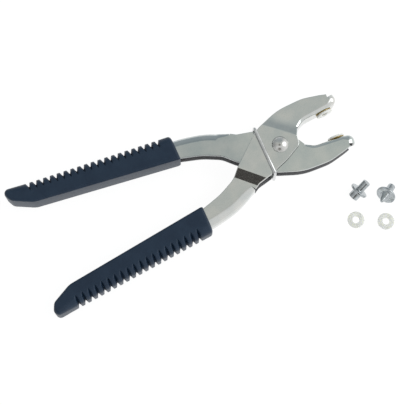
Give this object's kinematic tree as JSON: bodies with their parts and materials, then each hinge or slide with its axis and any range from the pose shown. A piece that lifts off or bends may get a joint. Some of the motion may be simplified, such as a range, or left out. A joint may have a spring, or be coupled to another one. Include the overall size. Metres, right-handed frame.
{
  "type": "snap fastener setting pliers",
  "caption": "Plier-type hand riveter with nested steel levers, ribbed grips and a wire return spring; sets snap fasteners between two ring seats, with loose dies and rings.",
  "frame": {"origin": "on the pivot axis at the level the tool lies on, the flat end of the rivet's clenched tail", "axes": "+X from the pivot towards the jaws, +Y towards the outer lever's jaw, +Z along the pivot rivet towards its domed head"},
  "size_m": [0.1813, 0.0935, 0.017],
  "materials": {
    "outer_lever": "bright plated pressed steel",
    "inner_lever": "bright plated pressed steel",
    "pivot_rivet": "bright plated domed rivet",
    "rivet_washer": "plain steel",
    "pivot_spacer": "plain steel tube",
    "return_spring": "drawn spring wire",
    "lower_grip": "satin navy plastic",
    "upper_grip": "satin navy plastic",
    "upper_die_socket": "dull brass",
    "lower_die_socket": "dull brass",
    "upper_seat_ring": "translucent off-white plastic",
    "lower_seat_ring": "translucent off-white plastic",
    "pin_die": "turned, zinc plated",
    "cone_die": "turned, zinc plated",
    "loose_ring_a": "translucent off-white plastic",
    "loose_ring_b": "translucent off-white plastic"
  },
  "bodies": {
    "outer": {"outer_lever": "outer_lever", "pivot_rivet": "pivot_rivet", "rivet_washer": "rivet_washer", "pivot_spacer": "pivot_spacer", "lower_grip": "lower_grip", "upper_die_socket": "upper_die_socket", "upper_seat_ring": "upper_seat_ring"},
    "inner": {"inner_lever": "inner_lever", "upper_grip": "upper_grip", "lower_die_socket": "lower_die_socket", "lower_seat_ring": "lower_seat_ring"},
    "spring": {"return_spring": "return_spring"},
    "die_pin": {"pin_die": "pin_die"},
    "die_cone": {"cone_die": "cone_die"},
    "ring_a": {"loose_ring_a": "loose_ring_a"},
    "ring_b": {"loose_ring_b": "loose_ring_b"}
  },
  "joints": [
    {"name": "pivot", "type": "hinge", "parent": "outer", "child": "inner", "pos_m": [0, 0, 0.0085], "axis": [0, 0, 1], "range_deg": [0, 18], "stiffness_Nm_per_rad": 3, "springref_deg": -5.73},
    {"name": "spring_follow", "type": "hinge", "parent": "outer", "child": "spring", "pos_m": [0, 0, 0.0085], "axis": [0, 0, 1], "range_deg": [0, 9]},
    {"name": "lift_pin_die", "type": "slide", "parent": "outer", "child": "die_pin", "axis": [0, 0, 1], "range_m": [0, 0.05]},
    {"name": "lift_cone_die", "type": "slide", "parent": "outer", "child": "die_cone", "axis": [0, 0, 1], "range_m": [0, 0.05]},
    {"name": "lift_ring_a", "type": "slide", "parent": "outer", "child": "ring_a", "axis": [0, 0, 1], "range_m": [0, 0.05]},
    {"name": "lift_ring_b", "type": "slide", "parent": "outer", "child": "ring_b", "axis": [0, 0, 1], "range_m": [0, 0.05]}
  ],
  "couplings": [
    {"joint": "spring_follow", "follows": "pivot", "ratio": 0.5}
  ]
}
